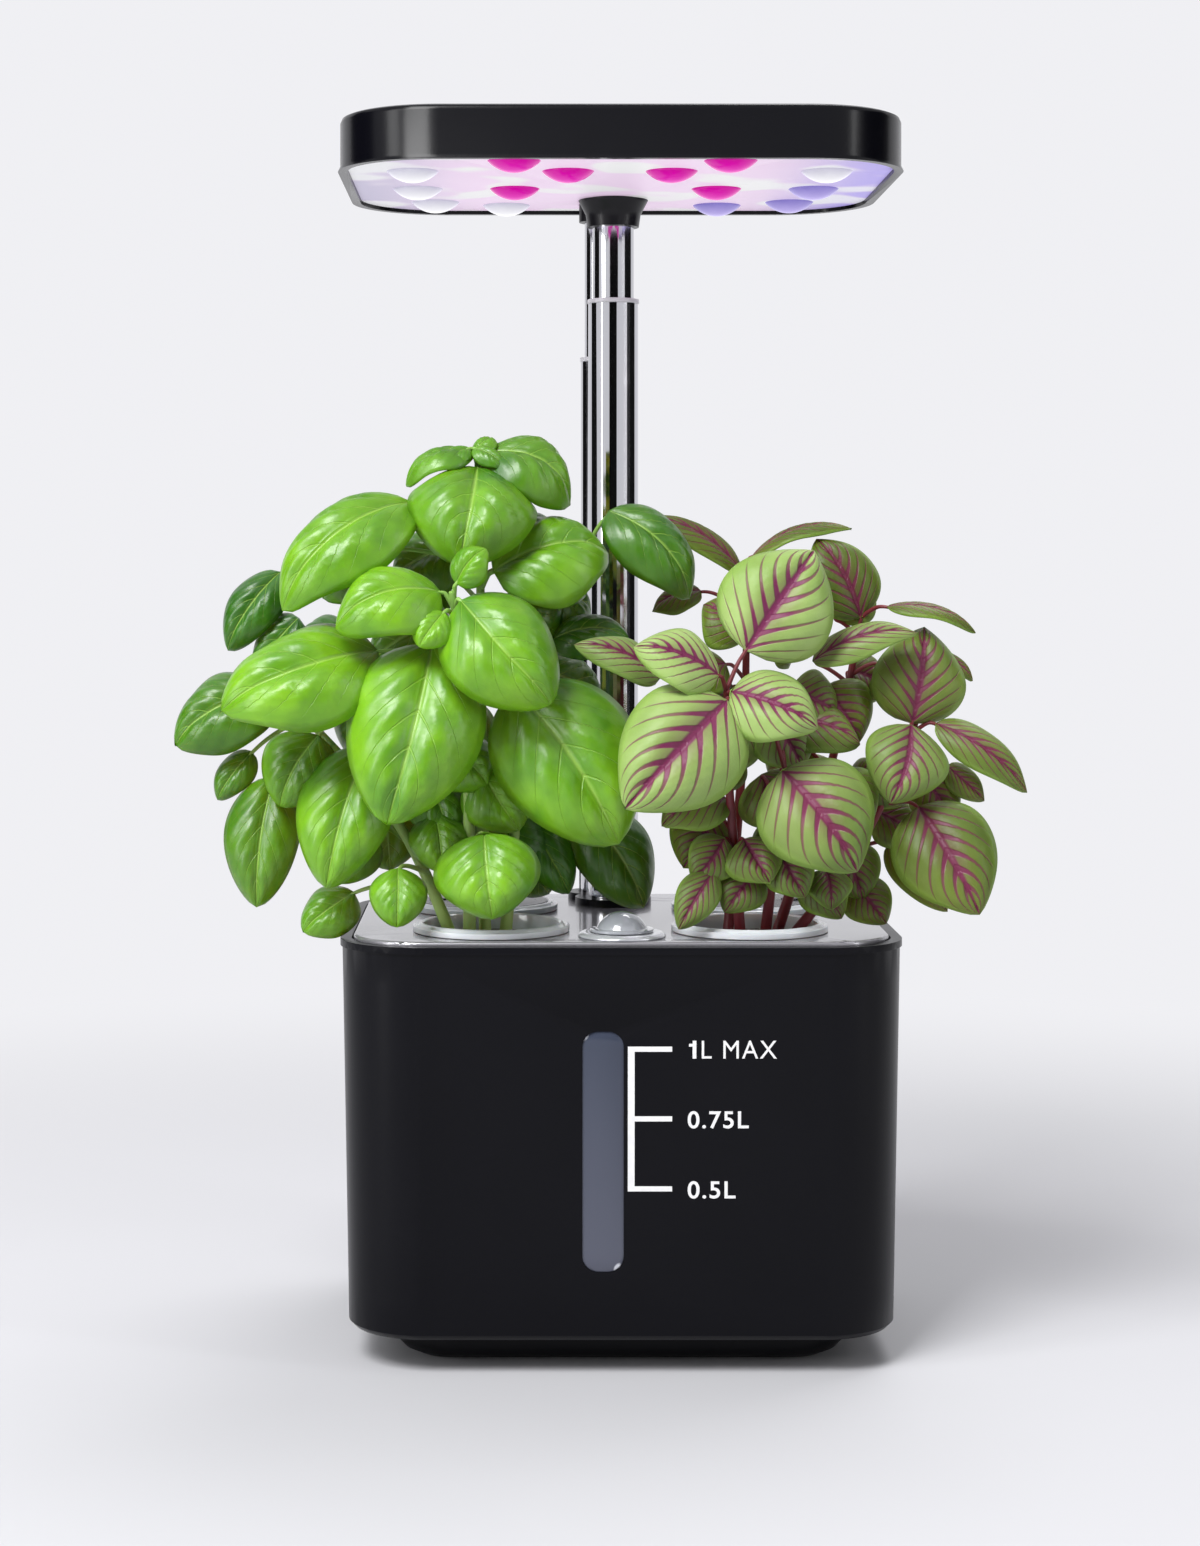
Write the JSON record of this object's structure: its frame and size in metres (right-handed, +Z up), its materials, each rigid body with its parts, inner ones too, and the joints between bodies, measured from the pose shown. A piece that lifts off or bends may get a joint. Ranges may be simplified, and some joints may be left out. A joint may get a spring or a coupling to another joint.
{
  "type": "countertop hydroponic garden",
  "caption": "Compact indoor hydroponic garden: drafted black water tank with level window, lift-off deck with net pots and herbs, and a flat grow lamp on telescopic posts.",
  "frame": {"origin": "middle of the tank's footprint, on the surface that the rubber pads stand on", "axes": "+Z up, +X to the viewer's right, -Y to the front with the level window"},
  "size_m": [0.22, 0.1232, 0.3202],
  "materials": {
    "tank_plastic": "glossy black",
    "plinth_plastic": "satin black",
    "pad_rubber": "matte",
    "screw_steel": "plain",
    "clear_window": "clear, slightly blue",
    "seal_rubber": "matte",
    "deck_plastic": "glossy silver grey",
    "socket_plastic": "glossy black",
    "inlet_plastic": "matte black",
    "post_chrome": "polished",
    "bush_plastic": "satin white",
    "port_plastic": "glossy silver",
    "cap_plastic": "smoky translucent",
    "pump_plastic": "matte black",
    "rotor_plastic": "matte white",
    "pipe_plastic": "milky",
    "box_plastic": "matte",
    "board_green": "circuit board",
    "hood_plastic": "glossy black",
    "panel_white": "bright white, lit",
    "led_board_metal": "plain",
    "red_lens": "lit magenta",
    "blue_lens": "lit violet",
    "white_lens": "lit white",
    "bracket_plastic": "glossy black",
    "button_plastic": "glossy black",
    "pot_plastic": "translucent white",
    "sponge_foam": "open foam, dark",
    "cover_plastic": "glossy black",
    "basil_stem": "green",
    "basil_leaf": "glossy green leaf",
    "amaranth_stem": "dark red",
    "amaranth_leaf": "green leaf with crimson veins"
  },
  "bodies": {
    "tank": {"tank_shell": "tank_plastic", "base_plinth": "plinth_plastic", "base_pads": "pad_rubber", "plinth_screws": "screw_steel", "level_window": "clear_window", "window_gasket": "seal_rubber"},
    "deck": {"deck_plate": "deck_plastic", "deck_seal": "seal_rubber", "post_socket": "socket_plastic", "power_inlet": "inlet_plastic", "main_post_tube": "post_chrome", "slim_post_tube": "post_chrome", "main_post_bush": "bush_plastic", "slim_post_bush": "bush_plastic", "port_collar": "port_plastic", "pump_body": "pump_plastic", "pump_cover": "pump_plastic", "pump_rotor": "rotor_plastic", "riser_pipe": "pipe_plastic", "control_box": "box_plastic", "control_lid": "box_plastic", "control_board": "board_green"},
    "fill_cap": {"fill_cap": "cap_plastic", "cap_ring": "seal_rubber"},
    "lamp": {"main_inner_tube": "post_chrome", "slim_inner_tube": "post_chrome", "main_slider": "bush_plastic", "slim_slider": "bush_plastic", "lamp_shell": "hood_plastic", "light_panel": "panel_white", "led_board": "led_board_metal", "red_lenses": "red_lens", "blue_lenses": "blue_lens", "white_lenses": "white_lens", "lamp_bracket": "bracket_plastic", "bracket_screws": "screw_steel", "button_switch": "box_plastic"},
    "power_button": {"power_button": "button_plastic"},
    "basil_pot": {"basil_basket": "pot_plastic", "basil_sponge": "sponge_foam", "basil_stems": "basil_stem", "basil_leaves": "basil_leaf"},
    "amaranth_pot": {"amaranth_basket": "pot_plastic", "amaranth_sponge": "sponge_foam", "amaranth_stems": "amaranth_stem", "amaranth_leaves": "amaranth_leaf"},
    "rear_left_pot": {"rear_left_basket": "pot_plastic", "rear_left_sponge": "sponge_foam", "rear_left_cover": "cover_plastic"},
    "rear_right_pot": {"rear_right_basket": "pot_plastic", "rear_right_sponge": "sponge_foam", "rear_right_cover": "cover_plastic"}
  },
  "joints": [
    {"name": "deck_lift", "type": "slide", "parent": "tank", "child": "deck", "axis": [0, 0, 1], "range_m": [0, 0.11]},
    {"name": "cap_lift", "type": "slide", "parent": "deck", "child": "fill_cap", "axis": [0, 0, 1], "range_m": [0, 0.015]},
    {"name": "lamp_height", "type": "slide", "parent": "deck", "child": "lamp", "axis": [0, 0, 1], "range_m": [-0.01, 0.08]},
    {"name": "power_press", "type": "slide", "parent": "lamp", "child": "power_button", "axis": [0, 0, -1], "range_m": [0, 0.0008], "stiffness_N_per_m": 400, "springref_m": -0.001},
    {"name": "basil_lift", "type": "slide", "parent": "deck", "child": "basil_pot", "axis": [0, 0, 1], "range_m": [0, 0.044]},
    {"name": "amaranth_lift", "type": "slide", "parent": "deck", "child": "amaranth_pot", "axis": [0, 0, 1], "range_m": [0, 0.044]},
    {"name": "rear_left_lift", "type": "slide", "parent": "deck", "child": "rear_left_pot", "axis": [0, 0, 1], "range_m": [0, 0.044]},
    {"name": "rear_right_lift", "type": "slide", "parent": "deck", "child": "rear_right_pot", "axis": [0, 0, 1], "range_m": [0, 0.044]}
  ]
}
